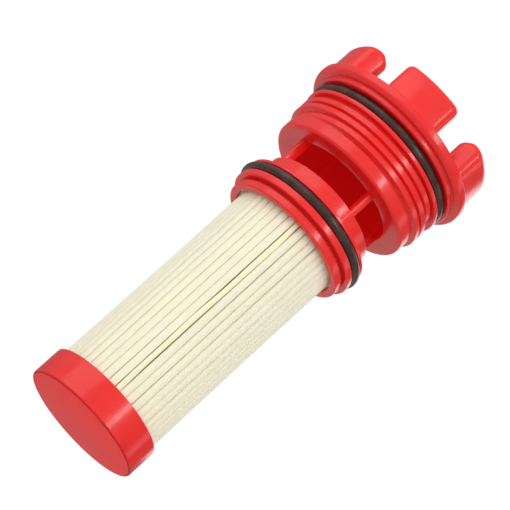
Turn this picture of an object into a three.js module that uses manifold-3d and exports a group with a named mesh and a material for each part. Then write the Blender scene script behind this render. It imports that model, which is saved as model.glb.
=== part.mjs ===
// Screw-in fuel filter: a threaded cap, a neck cage, a pleated paper element
// and a closed end cap, stacked along +Z. Millimetres. The origin is the
// centre of the end cap's flat bottom face.
import * as THREE from 'three';
import { mergeVertices } from 'three/addons/utils/BufferGeometryUtils.js';
import Module from 'manifold-3d';

// ---- end cap -------------------------------------------------------------
const END_CAP_RADIUS = 17.2;
const END_CAP_HEIGHT = 8.5;
const END_CAP_WALL = 0.9;
const END_CAP_FLOOR = 1.5;
const END_CAP_ROUND = 0.45;

// ---- pleated paper -------------------------------------------------------
const PLEAT_COUNT = 45;
const PLEAT_OUTER_RADIUS = 16.0;
const PLEAT_INNER_RADIUS = 9.1;
const PAPER_THICKNESS = 0.4;
const PLEAT_TIP_HALF = 0.74;       // half width of a fold at the outside
const PLEAT_VALLEY_HALF = 0.1;     // half width of the gap at the valley floor
const PAPER_BOTTOM = 2.9;
const PAPER_TOP = 71.9;
const SEAM_AZIMUTH = -2;           // degrees from -Y towards +X
const SEAM_HALF = 0.8;
const SEAM_RADIUS = 16.1;

// ---- support tube inside the paper --------------------------------------
const CORE_OUTER = 8.6;
const CORE_INNER = 7.2;
const CORE_TOP = 73.1;
const CORE_ROWS = 7;
const CORE_SLOT_WIDTH = 3.2;
const CORE_SLOT_HEIGHT = 6.4;
const CORE_ROW_PITCH = 9.6;

// ---- neck cage -----------------------------------------------------------
const CUP_RADIUS = 18.7;
const CUP_BORE = 16.6;
const CUP_BOTTOM = 70.8;
const CUP_CEILING = 73.2;
const CUP_TOP = 73.0;
const COLLAR_RADIUS = 20.0;
const COLLAR_BOTTOM = 73.7;
const NECK_GROOVE_BOTTOM = 75.7;
const NECK_GROOVE_TOP = 78.5;
const NECK_GROOVE_RADIUS = 18.0;
const COLLAR_TOP = 79.5;
const BAND_RADIUS = 16.95;
const BAND_TOP = 84.1;
const BAND_BORE = 14.5;
const OUTLET_BORE = 8.0;
const COLLAR_BORE = 11.3;
const RIB_COUNT = 4;
const RIB_AZIMUTH = 23;            // degrees from -Y towards +X
const RIB_THICKNESS = 1.85;
const RIB_INNER = 14.6;
const RIB_OUTER = 17.1;
const RIB_PLUG = 15.9;             // radius of the ribs inside the skirt
const RIB_SHOULDER = 91.15;        // where the ribs butt against the skirt
const HUB_BOTTOM = 104.5;
const HUB_TOP = 108.8;
const HUB_RADIUS = 15.9;

// ---- threaded cap --------------------------------------------------------
const SKIRT_BOTTOM = 91.2;
const SKIRT_RADIUS = 21.7;
const SKIRT_BORE = 16.0;
const ROOT_RADIUS = 21.5;
const CREST_RADIUS = 22.75;
const THREAD_PITCH = 2.35;
const THREAD_NEAR_HEIGHT = 96.5;   // crest height on the -Y side
const THREAD_START = -75;          // degrees
const THREAD_END = 815;
const THREAD_FADE = 45;
const LOWER_RING_RADIUS = 23.1;
const LOWER_RING_BOTTOM = 103.0;
const CAP_GROOVE_BOTTOM = 104.2;
const CAP_GROOVE_TOP = 107.2;
const CAP_GROOVE_RADIUS = 20.6;
const LIP_RADIUS = 24.0;
const FLANGE_RADIUS = 26.0;
const FLANGE_UNDERSIDE = 108.6;
const FLANGE_TOP = 111.7;
const PLATE_UNDERSIDE = 108.9;

// ---- castellation lobes --------------------------------------------------
const LOBE_COUNT = 5;
const LOBE_AZIMUTH = -7.2;         // degrees from -Y towards +X
const LOBE_TOP = 121.6;
const LOBE_OUTER = 24.9;
const LOBE_INNER = 17.3;
const LOBE_HALF_WIDTH = 8.7;
const LOBE_OUTER_CORNER = 2.6;
const LOBE_INNER_CORNER = 2.6;
const LOBE_TOP_ROUND = 2.0;

// ---- seal rings ----------------------------------------------------------
const SEAL_SECTION = 2.65;
const CAP_SEAL_CENTRE = 21.975;
const CAP_SEAL_HEIGHT = 105.62;
const NECK_SEAL_CENTRE = 19.42;
const NECK_SEAL_HEIGHT = 77.1;

const RINGS = 48;                  // facets round the axis
const DEG = Math.PI / 180;

const wasm = await Module();
wasm.setup();

// The point at an azimuth measured from -Y towards +X, as [x, y].
function polar(radius, degrees) {
  return [radius * Math.sin(degrees * DEG), -radius * Math.cos(degrees * DEG)];
}

// Turn any closed geometry into a boolean-ready solid.
function toSolid(geometry) {
  const bare = geometry.clone();
  bare.deleteAttribute('normal');
  bare.deleteAttribute('uv');
  const merged = mergeVertices(bare, 1e-4);
  const index = merged.index.array;
  const tris = [];
  for (let i = 0; i < index.length; i += 3) {
    const [a, b, c] = [index[i], index[i + 1], index[i + 2]];
    if (a !== b && b !== c && c !== a) tris.push(a, b, c);
  }
  const make = (list) => new wasm.Manifold(new wasm.Mesh({
    numProp: 3,
    vertProperties: new Float32Array(merged.attributes.position.array),
    triVerts: new Uint32Array(list),
  }));
  const solid = make(tris);
  if (solid.volume() > 0) return solid;
  const flipped = [];
  for (let i = 0; i < tris.length; i += 3) flipped.push(tris[i], tris[i + 2], tris[i + 1]);
  return make(flipped);
}

// Turn a solid back into drawable geometry.
function toGeometry(solid) {
  const mesh = solid.getMesh();
  const geometry = new THREE.BufferGeometry();
  geometry.setAttribute('position',
    new THREE.BufferAttribute(new Float32Array(mesh.vertProperties), 3));
  geometry.setIndex(new THREE.BufferAttribute(new Uint32Array(mesh.triVerts), 1));
  geometry.computeVertexNormals();
  return geometry;
}

// Spin a profile of [radius, height] pairs about +Z.
function revolve(profile, facets = RINGS) {
  const points = profile.map(([r, z]) => new THREE.Vector2(r, z));
  const geometry = new THREE.LatheGeometry(points, facets);
  geometry.rotateX(Math.PI / 2);
  return toSolid(geometry);
}

// Close a ring profile on itself, then spin it.
function revolveRing(profile, facets = RINGS) {
  return revolve([...profile, profile[0]], facets);
}

// A quarter-round as [radius, height] pairs about a centre.
function round(centreR, centreZ, radius, fromDeg, toDeg, steps = 4) {
  const points = [];
  for (let i = 0; i <= steps; i++) {
    const a = (fromDeg + ((toDeg - fromDeg) * i) / steps) * DEG;
    points.push([centreR + radius * Math.cos(a), centreZ + radius * Math.sin(a)]);
  }
  return points;
}

// A straight prism from an outline of [x, y] pairs.
function prism(outline, bottom, top) {
  const shape = new THREE.Shape(outline.map(([x, y]) => new THREE.Vector2(x, y)));
  const geometry = new THREE.ExtrudeGeometry(shape, {
    depth: top - bottom, bevelEnabled: false,
  });
  geometry.translate(0, 0, bottom);
  return toSolid(geometry);
}

// ---- pieces --------------------------------------------------------------

function endCap() {
  const inner = END_CAP_RADIUS - END_CAP_WALL;
  return revolve([
    [0, 0],
    ...round(END_CAP_RADIUS - END_CAP_ROUND, END_CAP_ROUND, END_CAP_ROUND, -90, 0),
    [END_CAP_RADIUS, END_CAP_HEIGHT - 0.2],
    [END_CAP_RADIUS - 0.2, END_CAP_HEIGHT],
    [inner + 0.1, END_CAP_HEIGHT],
    [inner, END_CAP_HEIGHT - 0.1],
    [inner, END_CAP_FLOOR],
    [0, END_CAP_FLOOR],
  ]);
}

function lowerPotting() {
  const radius = END_CAP_RADIUS - END_CAP_WALL - 0.05;
  const bottom = END_CAP_FLOOR + 0.02;
  const top = PAPER_BOTTOM - 0.03;
  return revolve([[0, bottom], [radius, bottom], [radius, top], [0, top]]);
}

function upperPotting() {
  const bottom = PAPER_TOP + 0.03;
  const top = CUP_CEILING - 0.03;
  return revolveRing([
    [CORE_OUTER + 0.05, bottom], [CUP_BORE - 0.05, bottom],
    [CUP_BORE - 0.05, top], [CORE_OUTER + 0.05, top],
  ]);
}

// One side of a folded sheet: its outer face or its inner face, fold by fold,
// running from one side of the seam round to the other.
function foldedFace(inside) {
  const pitch = 360 / PLEAT_COUNT;
  const outer = PLEAT_OUTER_RADIUS - (inside ? PAPER_THICKNESS : 0);
  const inner = PLEAT_INNER_RADIUS + (inside ? 0 : PAPER_THICKNESS);
  const tip = PLEAT_TIP_HALF - (inside ? PAPER_THICKNESS : 0);
  const valley = PLEAT_VALLEY_HALF + (inside ? PAPER_THICKNESS : 0);
  const tipTurn = tip / outer / DEG;
  const valleyTurn = valley / inner / DEG;
  const points = [];
  for (let i = 1; i < PLEAT_COUNT; i++) {
    const centre = SEAM_AZIMUTH + i * pitch;
    const before = i === 1 ? 0 : valleyTurn;
    const after = i === PLEAT_COUNT - 1 ? 0 : valleyTurn;
    points.push(polar(inner, centre - pitch / 2 + before));
    if (!inside) points.push(polar(outer - 0.25, centre - tipTurn));
    points.push(polar(outer, centre - tipTurn * (inside ? 1 : 0.62)));
    points.push(polar(outer, centre + tipTurn * (inside ? 1 : 0.62)));
    if (!inside) points.push(polar(outer - 0.25, centre + tipTurn));
    points.push(polar(inner, centre + pitch / 2 - after));
  }
  return points;
}

function pleatPack() {
  const outline = [...foldedFace(false), ...foldedFace(true).reverse()];
  return prism(outline, PAPER_BOTTOM, PAPER_TOP);
}

// The two glued ends of the sheet, standing where one fold would be.
function pleatSeam() {
  const half = [
    [9.1, 0.55], [9.5, 0.55], [9.9, 0.35], [13.5, 0.7],
    [15.5, SEAM_HALF], [SEAM_RADIUS, SEAM_HALF * 0.55],
  ];
  const turn = (radius, side) => {
    const [rx, ry] = polar(radius, SEAM_AZIMUTH);
    const [tx, ty] = polar(side, SEAM_AZIMUTH + 90);
    return [rx + tx, ry + ty];
  };
  const right = half.map(([r, w]) => turn(r, w));
  const left = half.map(([r, w]) => turn(r, -w)).reverse();
  return prism([...right, ...left], PAPER_BOTTOM, PAPER_TOP);
}

// A tube with rows of slots that lets the fuel through to the middle.
function supportCore() {
  let tube = revolveRing([
    [CORE_INNER, PAPER_BOTTOM], [CORE_OUTER, PAPER_BOTTOM],
    [CORE_OUTER, CORE_TOP], [CORE_INNER, CORE_TOP],
  ], 32);
  for (let row = 0; row < CORE_ROWS; row++) {
    for (let turn = 0; turn < 4; turn++) {
      const bar = new THREE.BoxGeometry(CORE_SLOT_WIDTH, 30, CORE_SLOT_HEIGHT);
      bar.rotateZ(turn * 45 * DEG);
      bar.translate(0, 0, 9.2 + row * CORE_ROW_PITCH);
      tube = tube.subtract(toSolid(bar));
    }
  }
  return tube;
}

// The collar with its seal groove, the cup below it and the band above it.
function collar() {
  return revolveRing([
    [CUP_BORE, CUP_BOTTOM],
    [CUP_RADIUS - 0.3, CUP_BOTTOM],
    [CUP_RADIUS, CUP_BOTTOM + 0.3],
    [CUP_RADIUS, CUP_TOP],
    [CUP_RADIUS - 0.8, CUP_TOP],
    [CUP_RADIUS - 0.8, COLLAR_BOTTOM],
    [COLLAR_RADIUS - 0.25, COLLAR_BOTTOM],
    [COLLAR_RADIUS, COLLAR_BOTTOM + 0.25],
    [COLLAR_RADIUS, NECK_GROOVE_BOTTOM - 0.15],
    [COLLAR_RADIUS - 0.15, NECK_GROOVE_BOTTOM],
    [NECK_GROOVE_RADIUS, NECK_GROOVE_BOTTOM],
    [NECK_GROOVE_RADIUS, NECK_GROOVE_TOP],
    [COLLAR_RADIUS, NECK_GROOVE_TOP],
    [COLLAR_RADIUS, COLLAR_TOP - 0.25],
    [COLLAR_RADIUS - 0.25, COLLAR_TOP],
    [BAND_RADIUS, COLLAR_TOP],
    [BAND_RADIUS, BAND_TOP - 0.15],
    [BAND_RADIUS - 0.15, BAND_TOP],
    [BAND_BORE, BAND_TOP],
    [BAND_BORE, COLLAR_TOP],
    [COLLAR_BORE, COLLAR_TOP],
    [COLLAR_BORE, CUP_CEILING + 1.7],
    [OUTLET_BORE, CUP_CEILING + 1.7],
    [OUTLET_BORE, CUP_CEILING],
    [CUP_BORE, CUP_CEILING],
  ]);
}

function neckCage() {
  const hub = revolveRing([
    [COLLAR_BORE, HUB_BOTTOM], [HUB_RADIUS, HUB_BOTTOM],
    [HUB_RADIUS, HUB_TOP], [COLLAR_BORE, HUB_TOP],
  ]);
  let cage = collar().add(hub);
  const plates = [
    [COLLAR_TOP - 1, RIB_SHOULDER, RIB_OUTER],
    [RIB_SHOULDER - 1, HUB_TOP - 0.5, RIB_PLUG],
  ];
  for (let i = 0; i < RIB_COUNT; i++) {
    for (const [bottom, top, outer] of plates) {
      const depth = outer - RIB_INNER;
      const plate = new THREE.BoxGeometry(RIB_THICKNESS, depth, top - bottom);
      plate.translate(0, -(RIB_INNER + depth / 2), (top + bottom) / 2);
      plate.rotateZ((RIB_AZIMUTH + (i * 360) / RIB_COUNT) * DEG);
      cage = cage.add(toSolid(plate));
    }
  }
  return cage;
}

// Skirt, seal groove, lip and flange in one spin, open towards -Z.
function capBody() {
  return revolve([
    [0, PLATE_UNDERSIDE],
    [SKIRT_BORE, PLATE_UNDERSIDE],
    [SKIRT_BORE, SKIRT_BOTTOM + 0.3],
    [SKIRT_BORE + 0.3, SKIRT_BOTTOM],
    ...round(SKIRT_RADIUS - 1, SKIRT_BOTTOM + 1, 1, -90, 0, 3),
    [SKIRT_RADIUS, 95.2],
    [ROOT_RADIUS, 95.4],
    [ROOT_RADIUS, LOWER_RING_BOTTOM],
    [LOWER_RING_RADIUS - 0.3, LOWER_RING_BOTTOM],
    [LOWER_RING_RADIUS, LOWER_RING_BOTTOM + 0.3],
    [LOWER_RING_RADIUS, CAP_GROOVE_BOTTOM - 0.2],
    [LOWER_RING_RADIUS - 0.2, CAP_GROOVE_BOTTOM],
    [CAP_GROOVE_RADIUS, CAP_GROOVE_BOTTOM],
    [CAP_GROOVE_RADIUS, CAP_GROOVE_TOP],
    [LIP_RADIUS - 0.2, CAP_GROOVE_TOP],
    [LIP_RADIUS, CAP_GROOVE_TOP + 0.2],
    [LIP_RADIUS, FLANGE_UNDERSIDE],
    ...round(FLANGE_RADIUS - 0.7, FLANGE_UNDERSIDE + 0.7, 0.7, -90, 0, 3),
    [FLANGE_RADIUS, FLANGE_TOP - 0.5],
    [FLANGE_RADIUS - 0.5, FLANGE_TOP],
    [0, FLANGE_TOP],
  ]);
}

// A right-hand ridge that winds up the skirt and fades out at both ends.
function threadRidge() {
  const section = [[0, -1.05], [0.25, -0.8], [1, -0.22], [1, 0.22], [0.25, 0.8], [0, 1.05]];
  const steps = Math.round((THREAD_END - THREAD_START) / 10);
  const height = CREST_RADIUS - ROOT_RADIUS;
  const positions = [];
  for (let i = 0; i <= steps; i++) {
    const turn = THREAD_START + ((THREAD_END - THREAD_START) * i) / steps;
    const near = Math.min(turn - THREAD_START, THREAD_END - turn) / THREAD_FADE;
    const fade = Math.min(1, near);
    const z = THREAD_NEAR_HEIGHT + (THREAD_PITCH * turn) / 360;
    const loop = [[-0.7, -0.85], ...section.map(([h, w]) => [
      h === 0 ? -0.2 : h * height * fade - 0.25 * (1 - fade), w]), [-0.7, 0.85]];
    for (const [h, w] of loop) {
      const [x, y] = polar(ROOT_RADIUS + h, turn);
      positions.push(x, y, z + w);
    }
  }
  const n = section.length + 2;
  const index = [];
  for (let i = 0; i < steps; i++) {
    for (let j = 0; j < n; j++) {
      const [a, b] = [i * n + j, i * n + ((j + 1) % n)];
      index.push(a, b, b + n, a, b + n, a + n);
    }
  }
  for (let j = 1; j < n - 1; j++) {
    index.push(0, j + 1, j);
    index.push(steps * n, steps * n + j, steps * n + j + 1);
  }
  const geometry = new THREE.BufferGeometry();
  geometry.setAttribute('position', new THREE.Float32BufferAttribute(positions, 3));
  geometry.setIndex(index);
  return toSolid(geometry);
}

// The outline of one lobe: arcs inside and outside, rounded at all corners.
function lobeOutline() {
  const outerCorner = LOBE_OUTER - LOBE_OUTER_CORNER;
  const outerSide = LOBE_HALF_WIDTH - LOBE_OUTER_CORNER;
  const outerUp = Math.sqrt(outerCorner ** 2 - outerSide ** 2);
  const outerTurn = Math.asin(outerSide / outerCorner) / DEG;
  const innerCorner = LOBE_INNER + LOBE_INNER_CORNER;
  const innerSide = LOBE_HALF_WIDTH - LOBE_INNER_CORNER;
  const innerUp = Math.sqrt(innerCorner ** 2 - innerSide ** 2);
  const innerTurn = Math.asin(innerSide / innerCorner) / DEG;
  const half = [
    ...round(0, 0, LOBE_OUTER, 0, outerTurn, 3),
    ...round(outerUp, outerSide, LOBE_OUTER_CORNER, outerTurn, 90, 5).slice(1),
    ...round(innerUp, innerSide, LOBE_INNER_CORNER, 90, 180 + innerTurn, 4),
    ...round(0, 0, LOBE_INNER, innerTurn, 0, 3).slice(1),
  ];
  const mirrored = half.slice(1, -1).reverse().map(([x, y]) => [x, -y]);
  return new THREE.Shape([...half, ...mirrored].map(([x, y]) => new THREE.Vector2(x, y)));
}

function lobe(azimuth) {
  const sunk = LOBE_TOP_ROUND + 0.4;
  const geometry = new THREE.ExtrudeGeometry(lobeOutline(), {
    depth: LOBE_TOP - FLANGE_TOP + sunk - 2 * LOBE_TOP_ROUND,
    bevelEnabled: true,
    bevelThickness: LOBE_TOP_ROUND,
    bevelSize: LOBE_TOP_ROUND,
    bevelOffset: -LOBE_TOP_ROUND,
    bevelSegments: 2,
  });
  geometry.translate(0, 0, FLANGE_TOP - sunk + LOBE_TOP_ROUND);
  geometry.rotateZ((azimuth - 90) * DEG);
  return toSolid(geometry);
}

function threadedCap() {
  let cap = capBody().add(threadRidge());
  for (let i = 0; i < LOBE_COUNT; i++) {
    cap = cap.add(lobe(LOBE_AZIMUTH + (i * 360) / LOBE_COUNT));
  }
  return cap;
}

function sealRing(centre, height) {
  const loop = round(centre, height, SEAL_SECTION / 2, 0, 345, 23).filter((_, i) => i % 2 === 0);
  return revolveRing(loop);
}

// ---- assembly ------------------------------------------------------------

const redPlastic = new THREE.MeshStandardMaterial({ color: 0xe8332c, roughness: 0.3 });
const blackRubber = new THREE.MeshStandardMaterial({ color: 0x2b2220, roughness: 0.6 });
const creamPaper = new THREE.MeshStandardMaterial({ color: 0xf7edd0, roughness: 0.9 });
const seamPaper = new THREE.MeshStandardMaterial({ color: 0xf1ecc4, roughness: 0.8 });
const whitePlastic = new THREE.MeshStandardMaterial({ color: 0xe4e2da, roughness: 0.6 });
const adhesive = new THREE.MeshStandardMaterial({ color: 0xd9c9a0, roughness: 0.5 });

const group = new THREE.Group();
group.name = 'fuel_filter';

function place(name, solid, material) {
  const mesh = new THREE.Mesh(toGeometry(solid), material);
  mesh.name = name;
  group.add(mesh);
}

place('threaded_cap', threadedCap(), redPlastic);
place('cap_seal_ring', sealRing(CAP_SEAL_CENTRE, CAP_SEAL_HEIGHT), blackRubber);
place('neck_cage', neckCage(), redPlastic);
place('neck_seal_ring', sealRing(NECK_SEAL_CENTRE, NECK_SEAL_HEIGHT), blackRubber);
place('pleat_pack', pleatPack(), creamPaper);
place('pleat_seam', pleatSeam(), seamPaper);
place('support_core', supportCore(), whitePlastic);
place('upper_potting', upperPotting(), adhesive);
place('lower_potting', lowerPotting(), adhesive);
place('end_cap', endCap(), redPlastic);

export default group;
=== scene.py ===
import math
import random

import bmesh
import bpy
from mathutils import Matrix, Vector


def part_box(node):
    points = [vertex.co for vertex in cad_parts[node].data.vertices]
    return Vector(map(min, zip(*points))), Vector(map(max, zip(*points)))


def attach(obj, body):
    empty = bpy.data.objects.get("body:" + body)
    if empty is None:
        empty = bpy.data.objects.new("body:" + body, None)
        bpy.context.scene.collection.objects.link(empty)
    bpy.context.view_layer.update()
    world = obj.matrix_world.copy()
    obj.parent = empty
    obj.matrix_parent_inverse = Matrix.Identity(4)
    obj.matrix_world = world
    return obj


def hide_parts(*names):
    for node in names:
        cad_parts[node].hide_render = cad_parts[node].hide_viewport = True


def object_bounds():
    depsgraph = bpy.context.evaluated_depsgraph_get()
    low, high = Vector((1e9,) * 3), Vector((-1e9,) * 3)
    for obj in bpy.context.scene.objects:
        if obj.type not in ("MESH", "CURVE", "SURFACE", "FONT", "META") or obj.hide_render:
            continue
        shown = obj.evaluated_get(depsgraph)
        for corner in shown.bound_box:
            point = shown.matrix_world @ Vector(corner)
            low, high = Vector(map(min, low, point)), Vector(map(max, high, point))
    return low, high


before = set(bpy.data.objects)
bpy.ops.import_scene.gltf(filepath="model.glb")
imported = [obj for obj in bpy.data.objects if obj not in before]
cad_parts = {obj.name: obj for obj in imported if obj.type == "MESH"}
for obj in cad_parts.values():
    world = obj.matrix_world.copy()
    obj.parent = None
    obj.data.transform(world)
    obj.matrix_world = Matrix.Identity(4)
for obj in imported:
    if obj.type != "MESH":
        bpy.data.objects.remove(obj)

MM = 0.001
cad_low, cad_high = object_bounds()
random.seed(7)

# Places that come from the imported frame, in millimetres.
CAP_LOW, CAP_HIGH = [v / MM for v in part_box("threaded_cap")]
CAGE_LOW, CAGE_HIGH = [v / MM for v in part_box("neck_cage")]
PAPER_LOW, PAPER_HIGH = [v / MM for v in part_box("pleat_pack")]
CLOSED_LOW, CLOSED_HIGH = [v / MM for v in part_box("end_cap")]
CAP_SEAL = [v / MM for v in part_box("cap_seal_ring")]
NECK_SEAL = [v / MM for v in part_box("neck_seal_ring")]
FLANGE_R = CAP_HIGH.x
SKIRT_Z = CAP_LOW.z
LOBE_TOP = CAP_HIGH.z

# Sizes of the moulded shapes, in millimetres.
FLANGE_TOP = 111.7
FLANGE_UNDER = 108.6
PLATE_UNDER = 108.9
SKIRT_R, SKIRT_BORE, ROOT_R, CREST_R = 21.7, 16.0, 21.5, 22.75
LOWER_RING_R, LOWER_RING_Z = 23.1, 103.0
CAP_GROOVE_R, CAP_GROOVE_LOW, CAP_GROOVE_HIGH, LIP_R = 20.6, 104.2, 107.2, 24.0
RIM_ROUND_OUT, RIM_ROUND_UP = 1.3, 1.75         # the flange's rounded lower edge
THREAD_PITCH, THREAD_NEAR_Z = 2.35, 96.5
THREAD_LOW, THREAD_HIGH = 94.9, 102.9
THREAD_START, THREAD_END, THREAD_FADE = -75.0, 815.0, 60.0
LOBES, LOBE_AZIMUTH = 5, -7.2
LOBE_OUTER, LOBE_INNER, LOBE_HALF = 24.9, 17.3, 8.7
LOBE_OUTER_CORNER, LOBE_INNER_CORNER = 2.6, 2.6
LOBE_ARCH, LOBE_EDGE = 2.5, 0.8
RIB_AZIMUTH, RIB_THICK, RIB_INNER, RIB_OUTER = 23.0, 1.85, 14.6, 17.1
RIB_SHOULDER, PLUG_R, HUB_LOW = 91.15, 15.9, 104.5
CUP_R, CUP_BORE, CUP_TOP, CUP_CEILING = 18.7, 16.6, 73.05, 73.2
COLLAR_LOW, NECK_GROOVE_LOW, NECK_GROOVE_HIGH, NECK_GROOVE_R = 73.7, 75.7, 78.5, 18.0
COLLAR_TOP, COLLAR_BORE, BAND_R, BAND_BORE, BAND_TOP = 79.5, 11.3, 16.95, 14.5, 84.1
CEILING_TOP, OUTLET_R = 74.9, 8.0
PLEATS, SEAM_AZIMUTH = 45, -2.0
END_EDGE = 0.5                                  # rounding of the end cap's lower edge
PAPER_OUTER, PAPER_INNER, PAPER_THICK = 16.0, 9.1, 0.4


# ---------------------------------------------------------------- geometry

def polar(radius, degrees):
    """A point at an azimuth counted from -Y towards +X, in millimetres."""
    a = math.radians(degrees)
    return radius * math.sin(a), -radius * math.cos(a)


def soften(corners, closed=False, steps=5):
    """A polyline of (radius, height, fillet) corners with each fillet rounded."""
    made, count = [], len(corners)
    for i, (r, z, fillet) in enumerate(corners):
        here = Vector((r, z))
        if fillet <= 0 or (not closed and i in (0, count - 1)):
            made.append(here)
            continue
        before = Vector(corners[i - 1][:2]) - here
        after = Vector(corners[(i + 1) % count][:2]) - here
        turn = math.pi - before.angle(after)
        reach = fillet * math.tan(turn / 2)
        reach = min(reach, before.length * 0.49, after.length * 0.49)
        a, b = before.normalized(), after.normalized()
        radius = reach / math.tan(turn / 2)
        centre = here + (a + b).normalized() * (radius / math.cos(turn / 2))
        start, end = here + a * reach - centre, here + b * reach - centre
        for k in range(steps + 1):
            t = k / steps
            side = math.sin(turn)
            p = start * math.sin((1 - t) * turn) / side + end * math.sin(t * turn) / side
            made.append(centre + p)
    return [(p.x, p.y) for p in made]


def resample(points, z_low, z_high, step):
    """Extra points on the long straight run between two heights."""
    made = []
    for (r0, z0), (r1, z1) in zip(points, points[1:]):
        made.append((r0, z0))
        if min(z0, z1) >= z_low - 0.01 and max(z0, z1) <= z_high + 0.01 and abs(z1 - z0) > step:
            n = int(abs(z1 - z0) / step)
            made += [(r0 + (r1 - r0) * k / n, z0 + (z1 - z0) * k / n) for k in range(1, n)]
    return made + [points[-1]]


def spin(bm, profile, segments, closed=False, push=None):
    """Adds a surface of revolution about Z to bm, with push(r, z, azimuth) as relief."""
    rings = []
    for r, z in profile:
        if r < 1e-6:
            rings.append([bm.verts.new((0, 0, z * MM))] * segments)
            continue
        ring = []
        for k in range(segments):
            azimuth = 360.0 * k / segments
            rr = push(r, z, azimuth) if push else r
            x, y = polar(rr, azimuth)
            ring.append(bm.verts.new((x * MM, y * MM, z * MM)))
        rings.append(ring)
    pairs = list(zip(rings, rings[1:])) + ([(rings[-1], rings[0])] if closed else [])
    for low, high in pairs:
        for k in range(segments):
            n = (k + 1) % segments
            quad = []
            for v in (low[k], low[n], high[n], high[k]):
                if v not in quad:
                    quad.append(v)
            if len(quad) > 2:
                bm.faces.new(quad)


def loft(bm, loops, cap_start=True, cap_end=True):
    """Adds a skin through closed loops of (x, y, z) millimetres."""
    rings = [[bm.verts.new((x * MM, y * MM, z * MM)) for x, y, z in loop] for loop in loops]
    count = len(rings[0])
    for low, high in zip(rings, rings[1:]):
        for k in range(count):
            n = (k + 1) % count
            bm.faces.new((low[k], low[n], high[n], high[k]))
    if cap_start:
        bm.faces.new(list(reversed(rings[0])))
    if cap_end:
        bm.faces.new(rings[-1])


def finish_piece(bm, name, material, slot, *nodes, sharp=38):
    """Turns bm into a smooth-shaded piece that stands for its CAD nodes."""
    bmesh.ops.recalc_face_normals(bm, faces=bm.faces)
    limit = math.radians(sharp)
    for face in bm.faces:
        face.smooth = True
    for edge in bm.edges:
        if len(edge.link_faces) == 2 and edge.calc_face_angle(0) > limit:
            edge.smooth = False
    mesh = bpy.data.meshes.new(name)
    bm.to_mesh(mesh)
    bm.free()
    mesh.materials.append(material)
    piece = bpy.data.objects.new(name, mesh)
    bpy.context.scene.collection.objects.link(piece)
    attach(piece, "root")
    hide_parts(*nodes)
    return piece


# --------------------------------------------------------------- materials

class Nodes:
    """A short way to wire one procedural material."""

    def __init__(self, name):
        self.material = bpy.data.materials.new(name)
        self.material.use_nodes = True
        self.tree = self.material.node_tree
        self.tree.nodes.clear()
        self.out = self.add("ShaderNodeOutputMaterial")
        self.shader = self.add("ShaderNodeBsdfPrincipled")
        self.link(self.shader.outputs[0], self.out.inputs[0])
        self.where = self.add("ShaderNodeTexCoord").outputs["Object"]

    def add(self, kind, **values):
        node = self.tree.nodes.new(kind)
        for key, value in values.items():
            setattr(node, key, value)
        return node

    def link(self, a, b):
        self.tree.links.new(a, b)

    def noise(self, scale, detail=3.0, rough=0.55, stretch=(1, 1, 1)):
        shift = self.add("ShaderNodeMapping")
        shift.inputs["Scale"].default_value = stretch
        self.link(self.where, shift.inputs["Vector"])
        noise = self.add("ShaderNodeTexNoise")
        noise.inputs["Scale"].default_value = scale
        noise.inputs["Detail"].default_value = detail
        noise.inputs["Roughness"].default_value = rough
        self.link(shift.outputs[0], noise.inputs["Vector"])
        return noise.outputs["Fac"]

    def ramp(self, value, stops):
        ramp = self.add("ShaderNodeValToRGB")
        while len(ramp.color_ramp.elements) < len(stops):
            ramp.color_ramp.elements.new(0.5)
        for element, (place, colour) in zip(ramp.color_ramp.elements, stops):
            element.position = place
            element.color = (*colour, 1)
        self.link(value, ramp.inputs[0])
        return ramp.outputs[0]

    def span(self, value, low, high, new_low, new_high):
        node = self.add("ShaderNodeMapRange")
        for key, number in zip(("From Min", "From Max", "To Min", "To Max"),
                               (low, high, new_low, new_high)):
            node.inputs[key].default_value = number
        self.link(value, node.inputs["Value"])
        return node.outputs[0]

    def mix(self, factor, a, b, blend="MIX"):
        node = self.add("ShaderNodeMix", data_type="RGBA", blend_type=blend)
        for socket, value in ((node.inputs[0], factor), (node.inputs[6], a), (node.inputs[7], b)):
            if isinstance(value, (int, float)):
                socket.default_value = value
            elif isinstance(value, tuple):
                socket.default_value = (*value, 1)
            else:
                self.link(value, socket)
        return node.outputs[2]

    def bump(self, height, strength, distance, after=None):
        node = self.add("ShaderNodeBump")
        node.inputs["Strength"].default_value = strength
        node.inputs["Distance"].default_value = distance
        self.link(height, node.inputs["Height"])
        if after is not None:
            self.link(after, node.inputs["Normal"])
        return node.outputs[0]

    def place_about_axis(self):
        """Outputs of the distance from the object's Z axis and of the height, in metres."""
        split = self.add("ShaderNodeSeparateXYZ")
        self.link(self.where, split.inputs[0])
        flat = self.add("ShaderNodeCombineXYZ")
        self.link(split.outputs[0], flat.inputs[0])
        self.link(split.outputs[1], flat.inputs[1])
        length = self.add("ShaderNodeVectorMath", operation="LENGTH")
        self.link(flat.outputs[0], length.inputs[0])
        return length.outputs["Value"], split.outputs[2]

    def set(self, **values):
        for key, value in values.items():
            socket = self.shader.inputs[key.replace("_", " ")]
            if isinstance(value, (int, float)):
                socket.default_value = value
            elif isinstance(value, tuple):
                socket.default_value = (*value, 1) if len(value) == 3 and socket.type == "RGBA" else value
            else:
                self.link(value, socket)


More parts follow.
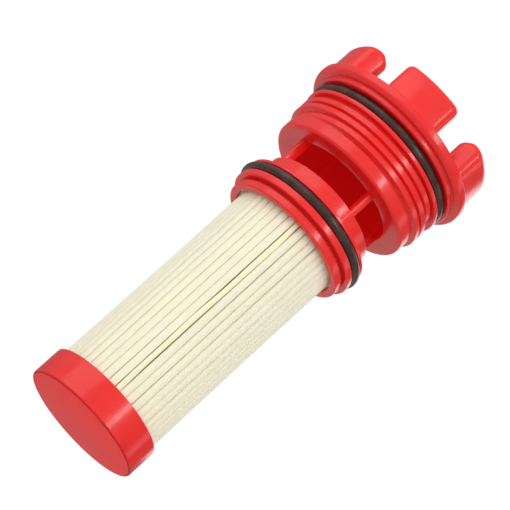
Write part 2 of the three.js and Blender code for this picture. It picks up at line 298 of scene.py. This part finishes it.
def red_plastic(name, tone):
    """Glossy moulded red plastic: faint flow marks, soft waviness, fine scuffs, and
    a painted red glow (emission) on the inside round the neck that lifts its shade."""
    m = Nodes(name)
    flow = m.noise(45, 4, 0.6, (1, 1, 0.35))
    colour = m.ramp(flow, [(0.3, tuple(c * 0.92 for c in tone)), (0.7, tone)])
    cloud = m.noise(210, 3, 0.5)
    colour = m.mix(m.span(cloud, 0.4, 0.7, 0, 0.05), colour, (0.95, 0.10, 0.08))
    wave = m.noise(70, 2, 0.4)
    grain = m.noise(2600, 2, 0.5)
    normal = m.bump(wave, 0.07, 0.0006)
    normal = m.bump(grain, 0.03, 0.00006, normal)
    scuff = m.noise(160, 5, 0.65, (1, 1, 2.5))
    m.set(Base_Color=colour, Roughness=m.span(scuff, 0.3, 0.7, 0.15, 0.26), Normal=normal,
          IOR=1.5, Specular_IOR_Level=0.42)
    # Painted light: a red emission glow masked to within 16-17 mm of the axis and above 84 mm,
    # brightening that shaded hollow.
    distance, height = m.place_about_axis()
    within = m.span(distance, 0.0162, 0.0170, 1.0, 0.0)
    above = m.span(height, 0.0835, 0.0850, 0.0, 1.0)
    inside = m.add("ShaderNodeMath", operation="MULTIPLY")
    m.link(within, inside.inputs[0])
    m.link(above, inside.inputs[1])
    m.set(Emission_Color=m.mix(inside.outputs[0], (0, 0, 0), PAINTED_INNER_GLOW), Emission_Strength=1.0)
    return m.material


def rubber(name):
    """Dark brown-black rubber with a dusty, slightly mottled skin."""
    m = Nodes(name)
    mottle = m.noise(260, 5, 0.65)
    colour = m.ramp(mottle, [(0.3, (0.034, 0.013, 0.010)), (0.55, (0.062, 0.026, 0.019)),
                             (0.75, (0.105, 0.062, 0.048))])
    grain = m.noise(1500, 3, 0.6)
    normal = m.bump(grain, 0.25, 0.00012)
    normal = m.bump(mottle, 0.2, 0.0003, normal)
    m.set(Base_Color=colour, Roughness=m.span(mottle, 0.3, 0.7, 0.18, 0.34), Normal=normal,
          IOR=1.45, Specular_IOR_Level=0.34)
    return m.material


def paper(name, tone, shade):
    """Resin-treated filter paper: long fibres, soft blotches, and painted shade that darkens it deeper
    inside the folds.
    """
    m = Nodes(name)
    distance, _ = m.place_about_axis()
    # Painted shade: the colour goes from tone at the fold tips to shade towards the fold bottoms, by
    # distance from the axis.
    painted_fold_shade = m.span(distance, 0.0118, 0.0156, 0.0, 1.0)
    body = m.mix(painted_fold_shade, shade, tone)
    blotch = m.noise(120, 4, 0.6)
    body = m.mix(m.span(blotch, 0.35, 0.7, 0.0, 0.35), body, tuple(c * 0.9 for c in tone))
    fibre = m.noise(1100, 4, 0.7, (1, 1, 0.3))
    body = m.mix(m.span(fibre, 0.35, 0.75, 0.0, 0.3), body, (1.0, 0.97, 0.86))
    normal = m.bump(fibre, 0.35, 0.00012)
    m.set(Base_Color=body, Roughness=0.85, Normal=normal, Subsurface_Weight=0.25,
          Subsurface_Scale=0.0015, Subsurface_Radius=(1.0, 0.85, 0.55), IOR=1.45)
    m.set(Sheen_Weight=0.15, Sheen_Roughness=0.6)
    return m.material


def plain_moulding(name, low, high, rough):
    """Unpainted moulded or set material with blotches and a fine grain."""
    m = Nodes(name)
    blotch = m.noise(150, 4, 0.6)
    grain = m.noise(1800, 3, 0.6)
    m.set(Base_Color=m.ramp(blotch, [(0.3, low), (0.7, high)]),
          Roughness=m.span(grain, 0.3, 0.7, rough - 0.08, rough + 0.08),
          Normal=m.bump(grain, 0.15, 0.0001), IOR=1.5)
    return m.material


RED = (0.85, 0.016, 0.014)
# Colour of the painted red glow (emission) on the inside round the neck.
PAINTED_INNER_GLOW = (0.085, 0.0005, 0.0005)
red_cap = red_plastic("red_moulding_cap", RED)
red_neck = red_plastic("red_moulding_neck", RED)
red_end = red_plastic("red_moulding_end", RED)
ring_rubber = rubber("seal_rubber")
# The second colour of each paper is painted shade for deep in the folds; the seam's is a much darker
# painted shade.
cream = paper("pleat_paper", (0.96, 0.895, 0.66), (0.93, 0.84, 0.54))
cream_seam = paper("seam_paper", (0.93, 0.89, 0.60), (0.66, 0.58, 0.28))
ivory = plain_moulding("core_moulding", (0.70, 0.68, 0.62), (0.80, 0.78, 0.72), 0.5)
glue = plain_moulding("set_adhesive", (0.60, 0.48, 0.27), (0.75, 0.64, 0.42), 0.35)


# ------------------------------------------------------------ threaded cap

def thread_relief(r, z, azimuth):
    """Extra radius of the thread at a height and azimuth: wide crest, narrow root."""
    if not THREAD_LOW < z < THREAD_HIGH or r > ROOT_R + 0.3:
        return r
    azimuth = azimuth if azimuth < 180 else azimuth - 360
    centre = THREAD_NEAR_Z + THREAD_PITCH * azimuth / 360
    turns = round((z - centre) / THREAD_PITCH)
    offset = abs(z - centre - turns * THREAD_PITCH)
    along = azimuth + 360 * turns
    fade = min(along - THREAD_START, THREAD_END - along) / THREAD_FADE
    fade = max(0.0, min(1.0, fade))
    fade = fade * fade * (3 - 2 * fade)
    t = max(0.0, min(1.0, (1.14 - offset) / 0.52))
    return r + (CREST_R - ROOT_R) * fade * (0.25 + 0.75 * t * t * (3 - 2 * t))


def lobe_outline(radial, side):
    """One lobe's plan outline about +X, grown by a distance radially and at its ends."""
    def arc(cx, cy, radius, start, end, steps):
        return [(cx + radius * math.cos(math.radians(start + (end - start) * k / steps)),
                 cy + radius * math.sin(math.radians(start + (end - start) * k / steps)))
                for k in range(steps + 1)]
    outer, inner, half_width = LOBE_OUTER + radial, LOBE_INNER - radial, LOBE_HALF + side
    outer_corner = min(LOBE_OUTER_CORNER, (outer - inner) / 2 - 0.04)
    inner_corner = min(LOBE_INNER_CORNER, (outer - inner) / 2 - 0.04)
    oc, out_side = outer - outer_corner, half_width - outer_corner
    up = math.sqrt(oc ** 2 - out_side ** 2)
    turn = math.degrees(math.asin(out_side / oc))
    ic, in_side = inner + inner_corner, half_width - inner_corner
    iup = math.sqrt(ic ** 2 - in_side ** 2)
    iturn = math.degrees(math.asin(in_side / ic))
    half = arc(0, 0, outer, 0, turn, 8)
    half += arc(up, out_side, outer_corner, turn, 90, 10)[1:]
    half += arc(iup, in_side, inner_corner, 90, 180 + iturn, 8)
    half += arc(0, 0, inner, iturn, 0, 8)[1:]
    return half + [(x, -y) for x, y in reversed(half[1:-1])]


def make_threaded_cap():
    bm = bmesh.new()
    profile = soften([
        (0, PLATE_UNDER, 0), (SKIRT_BORE, PLATE_UNDER, 0.4),
        (SKIRT_BORE, SKIRT_Z, 0.3), (SKIRT_R, SKIRT_Z, 0.95),
        (SKIRT_R, THREAD_LOW, 0.2), (ROOT_R, THREAD_LOW + 0.3, 0.2),
        (ROOT_R, LOWER_RING_Z - 0.05, 0.12), (LOWER_RING_R, LOWER_RING_Z, 0.35),
        (LOWER_RING_R, CAP_GROOVE_LOW, 0.25), (CAP_GROOVE_R, CAP_GROOVE_LOW, 0.1),
        (CAP_GROOVE_R, CAP_GROOVE_HIGH, 0.1), (LIP_R, CAP_GROOVE_HIGH, 0.5),
        (LIP_R, FLANGE_UNDER, 0.3),
        *[(FLANGE_R - RIM_ROUND_OUT * (1 - math.sin(math.radians(a))),
           FLANGE_UNDER + RIM_ROUND_UP * (1 - math.cos(math.radians(a))), 0)
          for a in range(0, 91, 10)],
        (FLANGE_R, FLANGE_TOP, 0.5), (0, FLANGE_TOP, 0),
    ])
    profile = resample(profile, THREAD_LOW + 0.2, LOWER_RING_Z - 0.05, 0.09)
    spin(bm, profile, 288, push=thread_relief)
    for i in range(LOBES):
        turn = Matrix.Rotation(math.radians(LOBE_AZIMUTH + 360 * i / LOBES - 90), 3, "Z")
        levels = [(0.0, 0.0, FLANGE_TOP - 1.0)]
        for a in (0, 22, 45, 67, 90):
            foot = 0.7 - 0.7 * math.sin(math.radians(a))
            levels.append((foot, foot, FLANGE_TOP + 0.68 - 0.7 * math.cos(math.radians(a))))
        for a in range(0, 91, 9):
            c, up = math.cos(math.radians(a)), math.sin(math.radians(a))
            levels.append((LOBE_ARCH * (c - 1), LOBE_EDGE * (c - 1), LOBE_TOP + LOBE_ARCH * (up - 1)))
        loops = []
        for radial, side, z in levels:
            loops.append([turn @ Vector((x, y, z)) for x, y in lobe_outline(radial, side)])
        loft(bm, loops, cap_start=False)
    return finish_piece(bm, "cap_moulding", red_cap, "red_plastic", "threaded_cap")


# --------------------------------------------------------------- neck cage

def rib(bm, azimuth, low, high, outer):
    """A thin upright plate with rounded long edges, standing on the collar."""
    half, round_off = RIB_THICK / 2, 0.3
    plan = []
    for cx, cy, start in ((outer - round_off, half - round_off, 0),
                          (RIB_INNER + round_off, half - round_off, 90),
                          (RIB_INNER + round_off, -half + round_off, 180),
                          (outer - round_off, -half + round_off, 270)):
        for k in range(5):
            a = math.radians(start + 90 * k / 4)
            plan.append((cx + round_off * math.cos(a), cy + round_off * math.sin(a)))
    turn = Matrix.Rotation(math.radians(azimuth - 90), 3, "Z")
    loft(bm, [[turn @ Vector((x, y, z)) for x, y in plan] for z in (low, high)])


def make_neck_cage():
    bm = bmesh.new()
    low = CAGE_LOW.z
    collar_r = CAGE_HIGH.x
    spin(bm, soften([
        (CUP_BORE, low, 0.25), (CUP_R, low, 0.35), (CUP_R, CUP_TOP, 0.3),
        (CUP_R - 0.8, CUP_TOP + 0.05, 0.1), (CUP_R - 0.8, COLLAR_LOW, 0.1),
        (collar_r, COLLAR_LOW, 0.35), (collar_r, NECK_GROOVE_LOW, 0.3),
        (NECK_GROOVE_R, NECK_GROOVE_LOW, 0.1), (NECK_GROOVE_R, NECK_GROOVE_HIGH, 0.1),
        (collar_r, NECK_GROOVE_HIGH, 0.2), (collar_r, COLLAR_TOP, 0.3),
        (BAND_R, COLLAR_TOP, 0.3), (BAND_R, BAND_TOP, 0.3), (BAND_BORE, BAND_TOP, 0.3),
        (BAND_BORE, COLLAR_TOP, 0.2), (COLLAR_BORE, COLLAR_TOP, 0.3),
        (COLLAR_BORE, CEILING_TOP, 0.2), (OUTLET_R, CEILING_TOP, 0.2),
        (OUTLET_R, CUP_CEILING, 0.1), (CUP_BORE, CUP_CEILING, 0.2),
    ], closed=True), 240, closed=True)
    spin(bm, soften([
        (COLLAR_BORE, HUB_LOW, 0.3), (PLUG_R, HUB_LOW, 0.3), (PLUG_R, CAGE_HIGH.z, 0.2),
        (COLLAR_BORE, CAGE_HIGH.z, 0.2),
    ], closed=True), 160, closed=True)
    for i in range(4):
        rib(bm, RIB_AZIMUTH + 90 * i, COLLAR_TOP - 0.3, RIB_SHOULDER, RIB_OUTER)
        rib(bm, RIB_AZIMUTH + 90 * i, RIB_SHOULDER - 0.5, HUB_LOW + 0.5, PLUG_R)
    return finish_piece(bm, "neck_moulding", red_neck, "red_plastic", "neck_cage")


# -------------------------------------------------------------- seal rings

def make_seal(name, box, node):
    """An O-ring, a hair uneven in its groove."""
    bm = bmesh.new()
    section = (box[1].z - box[0].z) / 2
    centre_r = box[1].x - section
    centre_z = (box[1].z + box[0].z) / 2
    loop = []
    for k in range(28):
        a = 2 * math.pi * k / 28
        loop.append((centre_r + section * math.cos(a), centre_z + section * math.sin(a)))

    def uneven(r, z, azimuth):
        return r + 0.04 * math.sin(math.radians(3 * azimuth + 20)) - 0.05

    spin(bm, loop, 240, closed=True, push=uneven)
    return finish_piece(bm, name, ring_rubber, "black_rubber", node, sharp=80)


# ------------------------------------------------------------------- paper

def fold_section(shifts, outer_add, inside):
    """One face of the folded sheet: rounded tips outside, tight folds inside."""
    pitch = 360 / PLEATS
    outer = PAPER_OUTER - (PAPER_THICK if inside else 0)
    inner = PAPER_INNER + (0 if inside else PAPER_THICK)
    half = 1.10 - (PAPER_THICK if inside else 0)
    valley = 0.08 + (PAPER_THICK if inside else 0)
    flank = 0.50 if inside else 0.985
    points = []
    for i in range(1, PLEATS):
        centre = SEAM_AZIMUTH + i * pitch + shifts[i]
        base = SEAM_AZIMUTH + i * pitch
        left = 0 if i == 1 else math.degrees(valley / inner)
        right = 0 if i == PLEATS - 1 else math.degrees(valley / inner)
        top = outer + outer_add[i]
        points.append(polar(inner, base - pitch / 2 + left))
        points.append(polar((inner + top) / 2, centre - pitch / 2 * flank))
        for k in range(9):
            a = math.radians(-90 + 180 * k / 8)
            drop = (1 - math.cos(a)) * (0.4 if inside else 0.70)
            points.append(polar(top - drop, centre + math.degrees(half * math.sin(a) / top)))
        points.append(polar((inner + top) / 2, centre + pitch / 2 * flank))
        points.append(polar(inner, base + pitch / 2 - right))
    return points


def make_pleats():
    bm = bmesh.new()
    levels = 30
    phase = [random.uniform(0, 6.28) for _ in range(PLEATS + 1)]
    lean = [random.uniform(-0.25, 0.25) for _ in range(PLEATS + 1)]
    for i, shift in ((1, 0.75), (2, 0.5), (3, 0.25)):      # the folds beside the seam lean on it
        lean[i], lean[PLEATS - i] = -shift, shift
    reach = [random.uniform(-0.16, 0.0) for _ in range(PLEATS + 1)]
    loops = []
    for level in range(levels + 1):
        t = level / levels
        z = PAPER_LOW.z + (PAPER_HIGH.z - PAPER_LOW.z) * t
        shifts = [lean[i] + 0.16 * math.sin(phase[i] + 5.0 * t) for i in range(PLEATS + 1)]
        add = [reach[i] + 0.05 * math.sin(2 * phase[i] + 7 * t) + 0.05 * t - 0.06
               for i in range(PLEATS + 1)]
        section = fold_section(shifts, add, False)
        section += list(reversed(fold_section(shifts, add, True)))
        loops.append([(x, y, z) for x, y in section])
    loft(bm, loops)
    return finish_piece(bm, "pleated_paper", cream, "cream_paper", "pleat_pack", sharp=60)


def make_seam():
    """The two glued ends of the sheet: a thin doubled edge with a slightly wavy lip."""
    bm = bmesh.new()
    half = [(9.1, 0.5), (9.9, 0.5), (13.5, 0.64), (15.2, 0.72),
            (15.75, 0.68), (16.0, 0.46), (16.07, 0.18)]
    loops = []
    for level in range(31):
        t = level / 30
        z = PAPER_LOW.z + (PAPER_HIGH.z - PAPER_LOW.z) * t
        sway = 0.10 * math.sin(9 * t + 1) + 0.05 * math.sin(23 * t)
        width = 1 + 0.06 * math.sin(17 * t)
        turn = Matrix.Rotation(math.radians(SEAM_AZIMUTH - 90), 3, "Z")
        plan = [(r, w * width) for r, w in half] + [(r, -w * width) for r, w in reversed(half)]
        loops.append([turn @ Vector((r, w + sway * (r - 9) / 7, z)) for r, w in plan])
    loft(bm, loops)
    return finish_piece(bm, "paper_seam", cream_seam, "seam_paper", "pleat_seam", sharp=60)


# ----------------------------------------------------------------- end cap

def make_end_cap():
    bm = bmesh.new()
    outer = CLOSED_HIGH.x
    high = CLOSED_HIGH.z
    spin(bm, soften([
        (0, CLOSED_LOW.z, 0), (outer, CLOSED_LOW.z, END_EDGE), (outer, high, 0.3),
        (16.3, high, 0.2), (16.3, 1.5, 0.4), (0, 1.5, 0),
    ], steps=7), 240)
    return finish_piece(bm, "end_moulding", red_end, "red_plastic", "end_cap")


make_threaded_cap()
make_neck_cage()
make_seal("cap_o_ring", CAP_SEAL, "cap_seal_ring")
make_seal("neck_o_ring", NECK_SEAL, "neck_seal_ring")
make_pleats()
make_seam()
make_end_cap()
for node, material in (("support_core", ivory), ("upper_potting", glue), ("lower_potting", glue)):
    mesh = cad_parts[node].data
    mesh.materials.clear()
    mesh.materials.append(material)


# ------------------------------------------------------- stage, light, view

def make_floor():
    """A pale floor with an opening under the end cap, clear when seen from beneath."""
    bm = bmesh.new()
    rings = []
    opening = (CLOSED_HIGH.x - END_EDGE) * MM
    for radius in (opening, 0.05, 0.4, 3.0):
        rings.append([bm.verts.new((radius * math.cos(a), radius * math.sin(a), -0.0001))
                      for a in (2 * math.pi * k / 96 for k in range(96))])
    for low, high in zip(rings, rings[1:]):
        for k in range(96):
            n = (k + 1) % 96
            bm.faces.new((low[k], high[k], high[n], low[n]))
    mesh = bpy.data.meshes.new("floor")
    bm.to_mesh(mesh)
    bm.free()
    floor = bpy.data.objects.new("floor", mesh)
    bpy.context.scene.collection.objects.link(floor)
    material = bpy.data.materials.new("pale_floor")
    material.use_nodes = True
    tree = material.node_tree
    tree.nodes.clear()
    out = tree.nodes.new("ShaderNodeOutputMaterial")
    mix = tree.nodes.new("ShaderNodeMixShader")
    matt = tree.nodes.new("ShaderNodeBsdfDiffuse")
    matt.inputs["Color"].default_value = (0.66, 0.66, 0.66, 1)
    clear = tree.nodes.new("ShaderNodeBsdfTransparent")
    side = tree.nodes.new("ShaderNodeNewGeometry")
    tree.links.new(side.outputs["Backfacing"], mix.inputs[0])
    tree.links.new(matt.outputs[0], mix.inputs[1])
    tree.links.new(clear.outputs[0], mix.inputs[2])
    tree.links.new(mix.outputs[0], out.inputs[0])
    mesh.materials.append(material)


def soft_light(name, direction, distance, width, height, power, colour=(1, 1, 1)):
    """A rectangular softbox that faces the middle of the object."""
    middle = (cad_low + cad_high) / 2
    data = bpy.data.lights.new(name, "AREA")
    data.shape = "RECTANGLE"
    data.size, data.size_y = width, height
    data.energy = power
    data.color = colour
    lamp = bpy.data.objects.new(name, data)
    bpy.context.scene.collection.objects.link(lamp)
    toward = Vector(direction).normalized()
    lamp.location = middle + toward * distance
    lamp.rotation_mode = "QUATERNION"
    lamp.rotation_quaternion = (-toward).to_track_quat("-Z", "Y")


def from_azimuth(azimuth, elevation):
    x, y = polar(math.cos(math.radians(elevation)), azimuth)
    return x, y, math.sin(math.radians(elevation))


make_floor()
TABLE_UP = (-0.415, -0.907, 0.080)      # where most of the studio's light comes from
soft_light("softbox_left", from_azimuth(-55, 22), 1.0, 0.9, 1.0, 3.0)
soft_light("strip_right", from_azimuth(31, 20), 1.0, 0.13, 0.7, 2.6)
soft_light("fill_below", from_azimuth(0, -50), 1.0, 0.8, 0.8, 6.0)
soft_light("strip_far_right", from_azimuth(98, 22), 1.0, 0.25, 0.7, 0.6)
soft_light("back_soft", from_azimuth(165, 35), 1.2, 1.0, 1.0, 4.0)


def make_world():
    """White room light, brighter from the studio's light side; plain white to the eye."""
    world = bpy.data.worlds.new("studio")
    world.use_nodes = True
    bpy.context.scene.world = world
    tree = world.node_tree
    tree.nodes.clear()
    out = tree.nodes.new("ShaderNodeOutputWorld")
    blend = tree.nodes.new("ShaderNodeMixShader")
    path = tree.nodes.new("ShaderNodeLightPath")
    where = tree.nodes.new("ShaderNodeTexCoord")
    facing = tree.nodes.new("ShaderNodeVectorMath")
    facing.operation = "DOT_PRODUCT"
    facing.inputs[1].default_value = TABLE_UP
    level = tree.nodes.new("ShaderNodeMapRange")
    level.interpolation_type = "SMOOTHSTEP"
    for key, number in zip(("From Min", "From Max", "To Min", "To Max"), (-0.6, 0.5, 0.24, 0.88)):
        level.inputs[key].default_value = number
    room = tree.nodes.new("ShaderNodeBackground")
    seen = tree.nodes.new("ShaderNodeBackground")
    seen.inputs[0].default_value = (1, 1, 1, 1)
    seen.inputs[1].default_value = 1.0
    room.inputs[0].default_value = (1, 1, 1, 1)
    tree.links.new(where.outputs["Generated"], facing.inputs[0])
    tree.links.new(facing.outputs["Value"], level.inputs["Value"])
    tree.links.new(level.outputs[0], room.inputs[1])
    tree.links.new(path.outputs["Is Camera Ray"], blend.inputs[0])
    tree.links.new(room.outputs[0], blend.inputs[1])
    tree.links.new(seen.outputs[0], blend.inputs[2])
    tree.links.new(blend.outputs[0], out.inputs[0])


make_world()
bpy.context.scene.view_settings.view_transform = "Standard"

camera_data = bpy.data.cameras.new("view")
camera_data.lens = 172.2
camera_data.sensor_width = 36
camera_data.clip_start, camera_data.clip_end = 0.05, 20
camera = bpy.data.objects.new("view", camera_data)
bpy.context.scene.collection.objects.link(camera)
right = Vector((0.6711, -0.2437, 0.6998))
up = Vector((-0.7414, -0.2233, 0.6333))
back = Vector((0, -0.9438, -0.3305))
back.normalize()
right = up.cross(back).normalized()
up = back.cross(right)
place = Vector((-0.0021, -0.5831, -0.1412))
camera.matrix_world = Matrix((
    (right.x, up.x, back.x, place.x), (right.y, up.y, back.y, place.y),
    (right.z, up.z, back.z, place.z), (0, 0, 0, 1)))
bpy.context.scene.camera = camera
